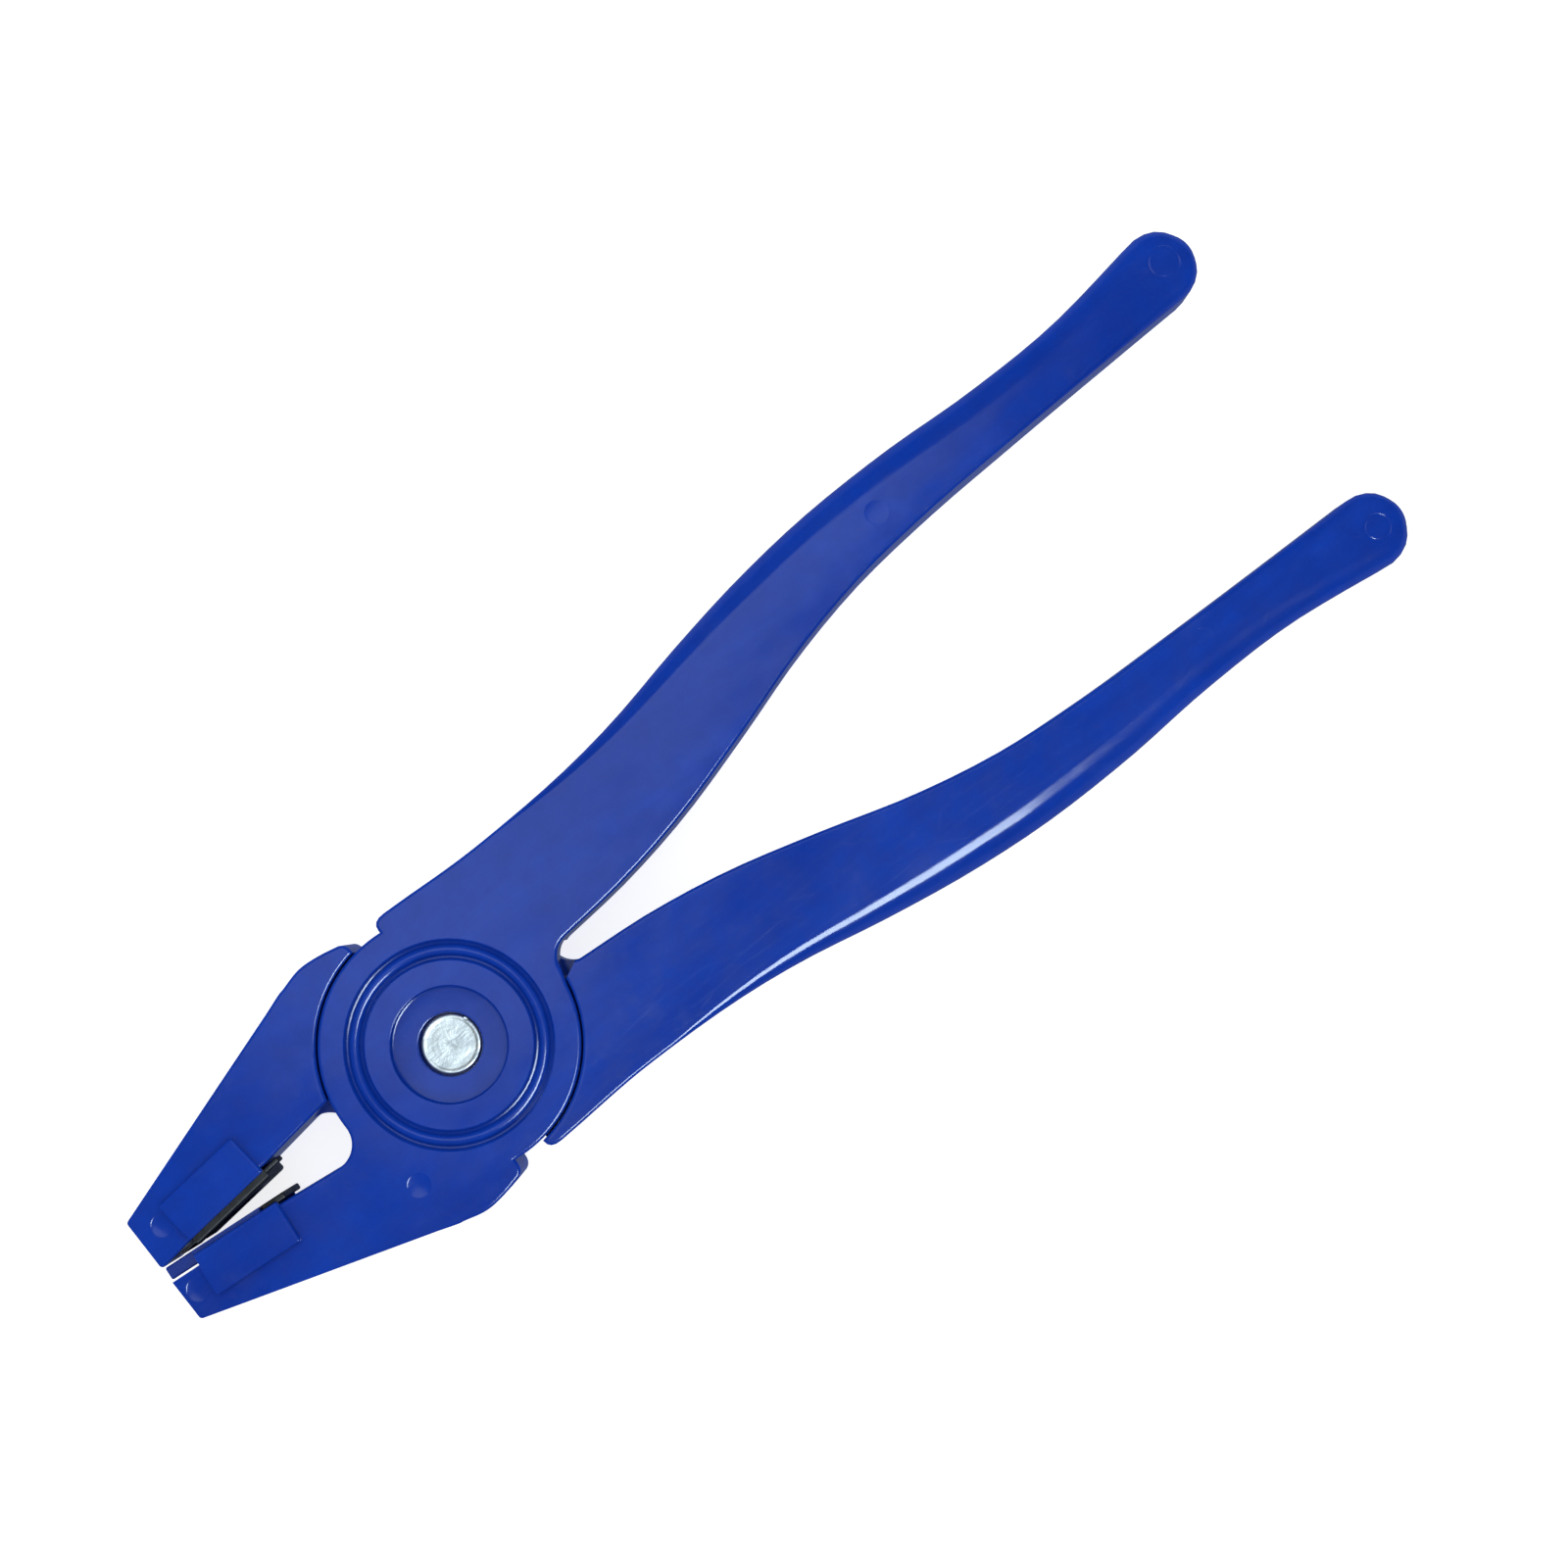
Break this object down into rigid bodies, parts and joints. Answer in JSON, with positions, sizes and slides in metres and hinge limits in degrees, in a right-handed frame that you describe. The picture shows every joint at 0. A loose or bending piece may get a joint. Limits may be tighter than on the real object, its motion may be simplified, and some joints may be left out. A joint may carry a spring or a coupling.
{
  "type": "snap setter pliers",
  "caption": "Hand pliers with two half-lapped moulded levers on a rivet; the jaws carry a rubber anvil pad and a ring holder for setting snap fasteners.",
  "frame": {"origin": "centre of the rivet head's outer face, on the pivot axis", "axes": "+X from the pivot towards the handle ends, jaws towards -X; +Z along the pivot axis out of the rivet's head; +Y towards the front lever's handle"},
  "size_m": [0.213, 0.062, 0.014],
  "materials": {
    "lever_plastic": "glossy royal blue moulded plastic with soft flow marks and fine handling scratches",
    "pad_rubber": "matt black rubber with a satin moulded skin",
    "rivet_metal": "pale satin aluminium, cut end with a smeared diagonal mark",
    "washer_steel": "zinc-plated steel, dull bright"
  },
  "bodies": {
    "rear": {"rear_lever": "lever_plastic", "anvil_pad": "pad_rubber", "pivot_rivet": "rivet_metal", "pivot_washer": "washer_steel"},
    "front": {"front_lever": "lever_plastic", "ring_holder": "lever_plastic", "rubber_keeper": "pad_rubber"}
  },
  "joints": [
    {"name": "pivot", "type": "hinge", "parent": "rear", "child": "front", "pos_m": [0, 0, 0], "axis": [0, 0, 1], "range_deg": [-0.15, 13]}
  ]
}
